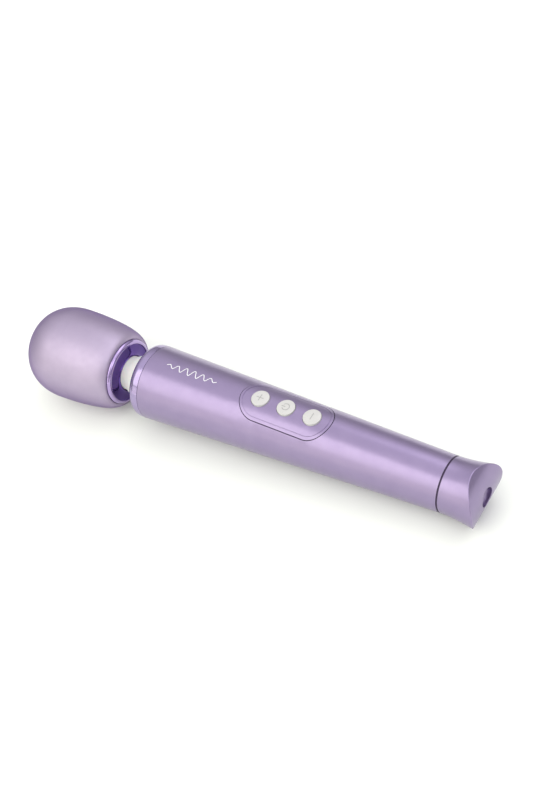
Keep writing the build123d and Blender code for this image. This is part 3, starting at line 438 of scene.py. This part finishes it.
def make_finishes():
    """Every material of the object, by the name of its slot in the record."""
    return {
        "lilac_silicone": finish(
            "lilac_silicone", ((0.445, 0.375, 0.51), (0.465, 0.39, 0.53)),
            (0.48, 0.54), 9 * MM, 0.12 * MM, 0.0008 * MM, metallic=1.0,
            specular_tint=(0.12, 0.08, 0.28, 1),
        ),
        "lilac_metallic": finish(
            "lilac_metallic", ((0.288, 0.228, 0.385), (0.308, 0.245, 0.405)),
            (0.30, 0.35), 6 * MM, 0.15 * MM, 0.0008 * MM, metallic=1.0, coat_weight=0.25,
            coat_roughness=0.15,
        ),
        "lilac_matte": finish(
            "lilac_matte", ((0.25, 0.19, 0.325), (0.265, 0.20, 0.34)),
            (0.54, 0.60), 6 * MM, 0.12 * MM, 0.0012 * MM, metallic=0.5,
        ),
        # A lighter, less metallic copy of the cap's lilac for the port's recess and bezel: painted light that
        # lifts their shade.
        "port_lilac_painted_light": finish(
            "port_lilac_painted_light", ((0.34, 0.27, 0.43), (0.36, 0.29, 0.45)),
            (0.40, 0.46), 4 * MM, 0.12 * MM, 0.001 * MM, metallic=0.2,
        ),
        "collar_satin": finish(
            "collar_satin", ((0.34, 0.275, 0.47), (0.37, 0.30, 0.50)),
            (0.12, 0.17), 5 * MM, 0.2 * MM, 0.0006 * MM, metallic=1.0,
        ),
        "lilac_chrome": finish(
            "lilac_chrome", ((0.40, 0.30, 0.56), (0.43, 0.33, 0.59)),
            (0.06, 0.10), 5 * MM, 0.4 * MM, 0.0003 * MM, metallic=1.0,
        ),
        # A darker copy of the ring's chrome for its hollow dish: painted shade and painted dark reflections of the
        # recess.
        "dish_shade_chrome": finish(
            "dish_shade_chrome", ((0.10, 0.055, 0.24), (0.12, 0.07, 0.27)),
            (0.03, 0.06), 5 * MM, 0.4 * MM, 0.0003 * MM, metallic=1.0,
        ),
        "white_silicone": finish(
            "white_silicone", ((0.69, 0.68, 0.67), (0.72, 0.71, 0.70)),
            (0.44, 0.52), 8 * MM, 0.15 * MM, 0.001 * MM, subsurface_weight=0.15,
            subsurface_scale=1.0 * MM,
        ),
        "white_plastic": finish(
            "white_plastic", ((0.53, 0.52, 0.515), (0.56, 0.55, 0.545)),
            (0.26, 0.34), 4 * MM, 0.2 * MM, 0.0006 * MM, coat_weight=0.3, coat_roughness=0.12,
        ),
        "sign_grey": finish(
            "sign_grey", ((0.33, 0.33, 0.33), (0.36, 0.36, 0.36)),
            (0.30, 0.38), 4 * MM, 0.2 * MM, 0.0006 * MM,
        ),
        "print_white": finish(
            "print_white", ((0.80, 0.80, 0.82), (0.86, 0.86, 0.88)),
            (0.40, 0.50), 3 * MM, 0.1 * MM, 0.001 * MM,
        ),
        "dark_seal": finish(
            "dark_seal", ((0.03, 0.013, 0.05), (0.04, 0.019, 0.065)),
            (0.5, 0.6), 3 * MM, 0.1 * MM, 0.004 * MM,
        ),
        "grey_shell": finish(
            "grey_shell", ((0.20, 0.20, 0.21), (0.24, 0.24, 0.25)),
            (0.45, 0.55), 8 * MM, 0.3 * MM, 0.01 * MM,
        ),
        "black_plastic": finish(
            "black_plastic", ((0.018, 0.018, 0.02), (0.028, 0.028, 0.03)),
            (0.35, 0.5), 5 * MM, 0.2 * MM, 0.006 * MM,
        ),
        "spring_steel": finish(
            "spring_steel", ((0.50, 0.49, 0.47), (0.58, 0.57, 0.55)),
            (0.22, 0.34), 3 * MM, 0.1 * MM, 0.002 * MM, metallic=1.0,
        ),
        "motor_steel": finish(
            "motor_steel", ((0.52, 0.52, 0.52), (0.60, 0.60, 0.60)),
            (0.25, 0.4), 5 * MM, 0.15 * MM, 0.002 * MM, metallic=1.0, stretch=(1, 12, 12),
        ),
        "magnet_ferrite": finish(
            "magnet_ferrite", ((0.05, 0.05, 0.055), (0.08, 0.08, 0.085)),
            (0.6, 0.75), 2 * MM, 0.15 * MM, 0.01 * MM,
        ),
        "bronze": finish(
            "bronze", ((0.42, 0.25, 0.12), (0.52, 0.32, 0.16)),
            (0.35, 0.5), 1.5 * MM, 0.1 * MM, 0.004 * MM, metallic=1.0,
        ),
        "weight_brass": finish(
            "weight_brass", ((0.62, 0.48, 0.22), (0.70, 0.55, 0.28)),
            (0.25, 0.4), 4 * MM, 0.15 * MM, 0.003 * MM, metallic=1.0, stretch=(1, 8, 8),
        ),
        "cell_wrap": finish(
            "cell_wrap", ((0.05, 0.20, 0.42), (0.06, 0.23, 0.47)),
            (0.18, 0.28), 9 * MM, 0.5 * MM, 0.004 * MM,
        ),
        "nickel": finish(
            "nickel", ((0.62, 0.60, 0.55), (0.70, 0.68, 0.62)),
            (0.2, 0.32), 2 * MM, 0.1 * MM, 0.002 * MM, metallic=1.0,
        ),
        "board_green": finish(
            "board_green", ((0.02, 0.14, 0.06), (0.03, 0.18, 0.08)),
            (0.25, 0.4), 2 * MM, 0.25 * MM, 0.01 * MM,
        ),
        "grey_foam": finish(
            "grey_foam", ((0.14, 0.14, 0.15), (0.22, 0.22, 0.23)),
            (0.85, 0.95), 0.8 * MM, 0.3 * MM, 0.06 * MM,
        ),
        "lead_insulation": finish(
            "lead_insulation", ((0.42, 0.03, 0.03), (0.50, 0.04, 0.04)),
            (0.35, 0.5), 3 * MM, 0.2 * MM, 0.004 * MM,
        ),
    }


def dress(made, slot, look=None):
    """Gives an object its slot's finish, or another look for the same slot."""
    made.data.materials.clear()
    made.data.materials.append(FINISHES[look or slot])
    return made


FINISHES = make_finishes()
make_floor()
make_studio()


# ---------------------------------------------------------------- head

TOUCH = 0.05  # clearance between pieces that rest on each other
COVER_INSET = 0.02  # keeps the cover just inside the CAD model's widest circle
HEAD_RADIUS = radii("silicone_head_cover")[1] - COVER_INSET
HEAD_WIDEST = 23.0
NOSE_FULLNESS = 0.62
REAR_FULLNESS = 0.46
SHOULDER = (51.0, 20.9)
SHOULDER_FULLNESS = 0.18
SHOULDER_RISE = 1.4
EDGE_LEAVE = (54.1, 20.05)
EDGE_ROUND = 2.0  # how far the cover's rear edge is rounded off
COVER_REAR = stations("silicone_head_cover")[1]
COVER_WALL = 2.4
RING_FRONT, RING_REAR = stations("head_trim_ring")
RING_HOLE, RING_RADIUS = radii("head_trim_ring")
LIP_RADIUS = RING_RADIUS + 2 * TOUCH


def head_outline(inset):
    """The head's outline from its tip to its shoulder, moved inwards, in mm."""
    radius = HEAD_RADIUS - inset
    widest = (HEAD_WIDEST, radius)
    nose_leave = (inset, NOSE_FULLNESS * radius)
    nose_arrive = (HEAD_WIDEST - NOSE_FULLNESS * (HEAD_WIDEST - inset), radius)
    rear_length = SHOULDER[0] - HEAD_WIDEST
    shoulder = (SHOULDER[0], SHOULDER[1] - inset)
    rear_leave = (HEAD_WIDEST + REAR_FULLNESS * rear_length, radius)
    rear_arrive = (SHOULDER[0] - SHOULDER_FULLNESS * rear_length, shoulder[1] + SHOULDER_RISE)
    front = curve((inset, 0), nose_leave, nose_arrive, widest, 44)
    return front + curve(widest, rear_leave, rear_arrive, shoulder, 32)


def build_head_cover():
    """The soft silicone cover, an egg whose rear edge is rounded in to the trim ring."""
    lip = (COVER_REAR, LIP_RADIUS)
    edge_arrive = (COVER_REAR - TOUCH, LIP_RADIUS - TOUCH + EDGE_ROUND)
    outline = loop(
        head_outline(0),
        curve(SHOULDER, EDGE_LEAVE, edge_arrive, lip, 24),
        [(RING_FRONT, LIP_RADIUS)],
        reversed(head_outline(COVER_WALL)),
    )
    cover = dress(turned("head_cover", outline), "lilac_silicone")
    bevel(cover, 0.12 * MM, angle=50)
    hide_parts("silicone_head_cover")
    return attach(cover, "head")


BAND_ROUND = 1.706
BAND_END = -4.8  # degrees at which the rounded band ends, past the rearmost point of its arc
DISH_START = (57.8, 14.75)
DISH_LEAVE = (57.8, 12.0)
DISH_ARRIVE = (58.1, 9.45)
DISH_EDGE = (RING_REAR, 9.2)
DISH_FRONT = 55.45
# Faces nearer the axis than this, the hollow dish, get the darker chrome: painted shade.
DISH_SHADE_RADIUS = 14.9
RING_BORE = 15.55


def build_trim_ring():
    """The polished ring behind the cover: a bright rounded band, then a hollow dish round the neck whose darker
    chrome is painted shade.
    """
    outline = loop(
        [(RING_FRONT, RING_BORE), (RING_FRONT, RING_RADIUS)],
        arc((COVER_REAR, RING_RADIUS - BAND_ROUND), BAND_ROUND, 90, BAND_END, 16),
        curve(DISH_START, DISH_LEAVE, DISH_ARRIVE, DISH_EDGE, 24),
        [(RING_REAR, RING_HOLE), (DISH_FRONT, RING_HOLE), (DISH_FRONT, RING_BORE)],
    )
    ring = dress(turned("trim_ring", outline), "lilac_chrome")
    ring.data.materials.append(FINISHES["dish_shade_chrome"])
    # The dish's faces take the darker chrome, painted shade of the hollow.
    for polygon in ring.data.polygons:
        polygon.material_index = int(off_axis(polygon.center) < DISH_SHADE_RADIUS * MM)
    bevel(ring, 0.08 * MM)
    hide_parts("head_trim_ring")
    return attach(ring, "head")


build_head_cover()
build_trim_ring()


# ---------------------------------------------------------------- neck

BOOT_FRONT, BOOT_REAR = stations("neck_boot")
BOOT_BORE, FLANGE_RADIUS = radii("neck_boot")
BOOT_WAIST = 8.7
FLARE_END = 70.5
FLARE_RADIUS = 13.4
WAIST_REACH = 4.4  # these three shape the flare
FLARE_REACH = 5.0
FLARE_FALL = 0.8
COLLAR_LIP = 72.2
FLANGE_FRONT = COLLAR_LIP + TOUCH


def bend_half(piece):
    """Bakes the placement of a half of a flexible piece into its mesh."""
    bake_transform(piece)


def build_neck():
    """The flexible white neck, in two pieces that meet at the station it bends about."""
    pivot = PIVOT_STATION / MM
    waist_leave = (RING_REAR + WAIST_REACH, BOOT_WAIST)
    flare_arrive = (FLARE_END - FLARE_REACH, FLARE_RADIUS - FLARE_FALL)
    flare = curve((RING_REAR, BOOT_WAIST), waist_leave, flare_arrive, (FLARE_END, FLARE_RADIUS), 44)
    front_flare = [point for point in flare if point[0] < pivot]
    rear_flare = [point for point in flare if point[0] >= pivot]
    split = (pivot, rear_flare[0][1])
    outlines = {
        "front": loop(
            [(BOOT_FRONT, BOOT_BORE), (BOOT_FRONT, BOOT_WAIST)], front_flare, [split, (pivot, BOOT_BORE)]
        ),
        "rear": loop(
            [(pivot, BOOT_BORE), split],
            rear_flare,
            [(FLANGE_FRONT, FLARE_RADIUS), (FLANGE_FRONT, FLANGE_RADIUS)],
            [(BOOT_REAR, FLANGE_RADIUS), (BOOT_REAR, BOOT_BORE)],
        ),
    }
    for half, outline in outlines.items():
        piece = dress(turned(f"neck_{half}", outline), "white_silicone")
        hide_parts("neck_boot")
        bend_half(piece)


SPRING_START = 55.6
SPRING_LENGTH = 20.0
SPRING_PITCH = 2.1
SPRING_RADIUS = 5.75
SPRING_WIRE = 0.5
SPRING_STEPS = 24
LEAD_SIDES = (-1.4, 1.4)
LEAD_RADIUS = 0.6
LEAD_HEIGHT = 9.6
LEAD_CORNERS = [(80.0, 0), (90.0, LEAD_HEIGHT)]
LEAD_START, LEAD_END = stations("neck_leads")
LEAD_BEND = 2.5
LEAD_STEPS = 30
CORNER_STEPS = 3  # steps of the first straight that its rounded corner takes up


def bending_wire(name, slot, path, normals, radius, replaced):
    """A round wire along the neck, in two pieces that meet at the station the neck bends about."""
    split = next(i for i, point in enumerate(path) if (point - HEAD_TIP).dot(ALONG) >= PIVOT_STATION)
    for half, part in (("front", slice(0, split + 1)), ("rear", slice(split, None))):
        piece = dress(stroke(f"{name}_{half}", path[part], normals[part], radius, radius), slot)
        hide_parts(replaced)
        bend_half(piece)


def build_neck_spring():
    """The coil spring inside the neck."""
    count = round(SPRING_LENGTH / SPRING_PITCH * SPRING_STEPS)
    path = []
    normals = []
    for i in range(count + 1):
        turn = math.tau * i / SPRING_STEPS
        normals.append(SIDEWAYS * math.sin(turn) + UPWARD * math.cos(turn))
        station = (SPRING_START + SPRING_PITCH * i / SPRING_STEPS) * MM
        path.append(place(station, 0, 0) + normals[-1] * SPRING_RADIUS * MM)
    bending_wire("spring_wire", "spring_steel", path, normals, SPRING_WIRE * MM, "neck_spring")


def lead_run():
    """(station, height) points of a motor wire in mm, its corners rounded."""
    end = (LEAD_END, LEAD_HEIGHT)
    points = straight((LEAD_START + LEAD_RADIUS, 0), LEAD_CORNERS[0], LEAD_STEPS)[:-CORNER_STEPS]
    for corner, after in zip(LEAD_CORNERS, LEAD_CORNERS[1:] + [end]):
        onward = (Vector(after) - Vector(corner)).normalized() * LEAD_BEND
        points += curve(points[-1], corner, corner, tuple(Vector(corner) + onward), 10)[1:]
        if after is not end:
            points.append(tuple(Vector(after) - onward))
    return points + [end]


def build_neck_leads():
    """The two motor wires that run through the neck to the control board."""
    for number, side in enumerate(LEAD_SIDES):
        path = [place(station * MM, side * MM, height * MM) for station, height in lead_run()]
        normals = [SIDEWAYS] * len(path)
        name = f"motor_wire_{number + 1}"
        bending_wire(name, "lead_insulation", path, normals, LEAD_RADIUS * MM, "neck_leads")


build_neck()
build_neck_spring()
build_neck_leads()


# ---------------------------------------------------------------- handle

COLLAR_NOSE, COLLAR_END = stations("collar_ring")
COLLAR_BORE, COLLAR_RADIUS = radii("collar_ring")
COLLAR_ROUND = 4.0
COLLAR_SEAT = 15.55
NOSE_CHAMFER = 0.5


def build_collar():
    """The rounded nose ring at the front of the handle."""
    outline = loop(
        [(COLLAR_END, COLLAR_RADIUS)],
        arc((COLLAR_NOSE + COLLAR_ROUND, COLLAR_RADIUS - COLLAR_ROUND), COLLAR_ROUND, 90, 180, 20),
        [(COLLAR_NOSE + NOSE_CHAMFER, COLLAR_BORE), (COLLAR_LIP, COLLAR_BORE)],
        [(COLLAR_LIP, COLLAR_SEAT), (COLLAR_END, COLLAR_SEAT)],
    )
    ring = dress(turned("collar", outline), "lilac_chrome", "collar_satin")
    bevel(ring, 0.1 * MM)
    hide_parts("collar_ring")
    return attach(ring, "handle")


build_collar()


# ---------------------------------------------------------------- tail cap

GASKET_FRONT, GASKET_REAR = stations("tail_gasket")
CAP_FRONT = (GASKET_REAR + TOUCH, 13.4)
CAP_BLANK_END = (256.0, 15.75)  # the side runs on to here, past the curved cut
CAP_FLARE_START = 246.0
SPIGOT_FRONT, CAP_REAR = stations("tail_cap")
SPIGOT_RADIUS = 11.71
SPIGOT_BORE = 10.0
ROCKER_RADIUS = 20.0
ROCKER_CENTRE = CAP_REAR - ROCKER_RADIUS
PORT_RADIUS = MOUNTS["charging_port"]["dims"]["r_mm"]
BEZEL_FRONT, PORT_FLOOR = stations("port_bezel")
BEZEL_SEAT = BEZEL_FRONT - TOUCH
BEZEL_HOLE = radii("port_bezel")[1] + TOUCH
JACK_HOLE = radii("tail_cap")[0]
CAVITY_END = 244.0
CAVITY_SLOPE = 1.4  # the cavity widens by this much over the same length, at each end
CAVITY_RADIUS = SPIGOT_BORE + CAVITY_SLOPE
# (station, radius) points in mm of everything inside the cap, from the port's floor to the front.
CAP_INSIDE = [
    (PORT_FLOOR, PORT_RADIUS),
    (PORT_FLOOR, BEZEL_HOLE),
    (BEZEL_SEAT, BEZEL_HOLE),
    (BEZEL_SEAT, JACK_HOLE),
    (CAVITY_END, JACK_HOLE),
    (CAVITY_END, SPIGOT_BORE),
    (CAVITY_END - CAVITY_SLOPE, CAVITY_RADIUS),
    (CAP_FRONT[0] + CAVITY_SLOPE, CAVITY_RADIUS),
    (CAP_FRONT[0], SPIGOT_BORE),
    (SPIGOT_FRONT, SPIGOT_BORE),
    (SPIGOT_FRONT, SPIGOT_RADIUS),
    (CAP_FRONT[0], SPIGOT_RADIUS),
]
CAP_ROWS = 26
FACE_ROWS = 18
CAP_SEGMENTS = 224
RIM_HALVINGS = 40


def cap_side(t):
    """(station, radius) of the cap's flaring side, in mm, for t from 0 at its front to 1."""
    front, leave, end = CAP_FRONT[0], CAP_FLARE_START, CAP_BLANK_END[0]
    station = front * (1 - t) ** 2 + 2 * leave * t * (1 - t) + end * t * t
    return station, CAP_FRONT[1] + (CAP_BLANK_END[1] - CAP_FRONT[1]) * t * t


def rocker(height):
    """Station of the curved end face at a height, in mm."""
    return ROCKER_CENTRE + math.sqrt(ROCKER_RADIUS ** 2 - height ** 2)


def cap_rim(angle):
    """Where the side meets the end face: the side's t at an angle from straight up."""
    low, high = 0.0, 1.0
    for _ in range(RIM_HALVINGS):
        middle = (low + high) / 2
        station, radius = cap_side(middle)
        if station < rocker(radius * math.cos(angle)):
            low = middle
        else:
            high = middle
    return low


def build_tail_cap():
    """The flared end cap, its end cut by a cylinder that lies across the wand and holed by the port."""
    angles = [math.tau * i / CAP_SEGMENTS for i in range(CAP_SEGMENTS)]
    rims = [cap_rim(angle) for angle in angles]
    rows = []
    for row in range(CAP_ROWS + 1):
        rows.append([cap_side(rim * row / CAP_ROWS) for rim in rims])
    face_start = len(rows) - 1
    rim_radii = [cap_side(rim)[1] for rim in rims]
    for row in range(1, FACE_ROWS + 1):
        inward = row / FACE_ROWS
        reaches = [rim * (1 - inward) + PORT_RADIUS * inward for rim in rim_radii]
        rows.append([(rocker(reach * math.cos(a)), reach) for reach, a in zip(reaches, angles)])
    face_end = len(rows) - 1
    rows += [[point] * CAP_SEGMENTS for point in CAP_INSIDE]
    grid = bmesh.new()
    rings = [
        [
            grid.verts.new(place(station * MM, radius * math.sin(a) * MM, radius * math.cos(a) * MM))
            for (station, radius), a in zip(row, angles)
        ]
        for row in rows
    ]
    for number, (front, rear) in enumerate(zip(rings, rings[1:] + rings[:1])):
        for face in join_rings(grid, front, rear, CAP_SEGMENTS):
            face.material_index = int(number >= face_start) + int(number >= face_end)
    cap = dress(new_object("tail_cap_shell", grid), "lilac_metallic")
    cap.data.materials.append(FINISHES["lilac_matte"])
    # The port's recess and the hollow inside the cap get the lighter lilac: painted light that lifts their shade.
    cap.data.materials.append(FINISHES["port_lilac_painted_light"])
    bevel(cap, 0.35 * MM, segments=4, angle=32, material=0)
    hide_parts("tail_cap")
    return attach(cap, "handle")


build_tail_cap()


# ---------------------------------------------------------------- buttons

BUTTON_RADIUS = 4.45
BUTTON_SEGMENTS = 96
FLANGE_THICKNESS = 0.7
DOME_RADIUS = 4.1
DOME_STEPS = 12
BUTTON_CROWN = 0.3
BUTTON_EDGE = 0.35
EDGE_END = 15  # degrees of the rounded edge's last own point, before the dome's rim completes it
ICON_SIZE = 1.75
POWER_RING_REACH = 140  # degrees of the power sign's ring to each side of its middle
POWER_BAR_INSET = 0.35
ICON_HALF_WIDTH = 0.2
ICON_HALF_HEIGHT = 0.09

# Lines of each button's sign, as (distance along the wand, side) points in mm.
ICONS = {
    "plus_button": [straight((-ICON_SIZE, 0), (ICON_SIZE, 0)), straight((0, -ICON_SIZE), (0, ICON_SIZE))],
    "power_button": [
        arc((0, 0), ICON_SIZE, -POWER_RING_REACH, POWER_RING_REACH, 40),
        straight((-ICON_SIZE - POWER_BAR_INSET, 0), (-POWER_BAR_INSET, 0)),
    ],
    "minus_button": [straight((0, -ICON_SIZE), (0, ICON_SIZE))],
}


def dome_height(rim, distance):
    """Height in mm of a button's domed top, at a distance from its middle."""
    return rim + BUTTON_CROWN * (1 - (distance / DOME_RADIUS) ** 2)


def button_outline(foot, flange, top):
    """(height, radius) points in mm of a button: its flange, its side, its rounded edge and its dome."""
    rim = top - BUTTON_CROWN
    ledge = foot + FLANGE_THICKNESS
    edge = arc((rim - BUTTON_EDGE, BUTTON_RADIUS - BUTTON_EDGE), BUTTON_EDGE, 90, EDGE_END, 5)
    dome = [DOME_RADIUS * (1 - step / DOME_STEPS) for step in range(DOME_STEPS + 1)]
    return loop(
        [(foot, 0), (foot, flange), (ledge, flange), (ledge, BUTTON_RADIUS)],
        edge,
        [(dome_height(rim, radius), radius) for radius in dome],
    )


def build_button(node, icon):
    """A round white button with a slightly domed top and its raised sign."""
    centre = place(sum(span(node, ALONG, HEAD_TIP)) / 2, 0, 0)
    foot, top = (reach / MM for reach in span(node, UPWARD, centre))
    flange = span(node, SIDEWAYS, centre)[1] / MM
    outline = button_outline(foot, flange, top)
    cap_name = node.replace("_button", "_cap")
    button = turned(cap_name, outline, origin=centre, axis=UPWARD, start=ALONG, segments=BUTTON_SEGMENTS)
    dress(button, "white_plastic")
    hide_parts(node)
    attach(button, node)
    for number, line in enumerate(icon):
        path = []
        for x, y in line:
            height = dome_height(top - BUTTON_CROWN, math.hypot(x, y))
            path.append(centre + (ALONG * x + SIDEWAYS * y + UPWARD * height) * MM)
        normals = [UPWARD] * len(path)
        name = f"{node}_sign_{number + 1}"
        mark = stroke(name, path, normals, ICON_HALF_WIDTH * MM, ICON_HALF_HEIGHT * MM)
        dress(mark, "white_plastic", "sign_grey")
        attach(mark, node)


for node, icon in ICONS.items():
    build_button(node, icon)


# ---------------------------------------------------------------- printed mark

TUBE_FRONT = (76.5, COLLAR_RADIUS)
TUBE_REAR = (GASKET_FRONT, CAP_FRONT[1])
MARK_START = 87.0
MARK_END = 115.5
MARK_WAVES = 6
MARK_HALF_HEIGHT = 1.8
MARK_HALF_WIDTH = 0.19
MARK_THICKNESS = 0.02
MARK_POINTS = 200
MARK_FADE = 0.5  # power of the sine by which the waves shrink towards both ends


def build_mark():
    """A plain white wave, printed on the handle in line with the buttons."""
    taper = (TUBE_FRONT[1] - TUBE_REAR[1]) / (TUBE_REAR[0] - TUBE_FRONT[0])
    path = []
    normals = []
    for i in range(MARK_POINTS + 1):
        share = i / MARK_POINTS
        station = MARK_START + (MARK_END - MARK_START) * share
        swing = math.sin(math.tau * MARK_WAVES * share)
        side = MARK_HALF_HEIGHT * swing * math.sin(math.pi * share) ** MARK_FADE
        radius = TUBE_FRONT[1] - taper * (station - TUBE_FRONT[0])
        normals.append((UPWARD * math.sqrt(radius ** 2 - side ** 2) + SIDEWAYS * side).normalized())
        path.append(place(station * MM, 0, 0) + normals[-1] * radius * MM)
    mark = stroke("wave_mark", path, normals, MARK_HALF_WIDTH * MM, MARK_THICKNESS * MM)
    dress(mark, "white_plastic", "print_white")
    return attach(mark, "handle")


build_mark()


# ---------------------------------------------------------------- CAD nodes that keep their mesh

# The port's bezel gets the recess's lighter lilac, painted light.
NODE_LOOKS = {"port_bezel": "port_lilac_painted_light"}


def dress_nodes():
    """Gives each CAD node that still shows the finish of its slot in the record."""
    for row in frame["record"]["subparts"]:
        node = frame["nodes"][row["node"]]
        if not node.hide_render:
            dress(node, row["material_slot"], NODE_LOOKS.get(row["node"]))


dress_nodes()
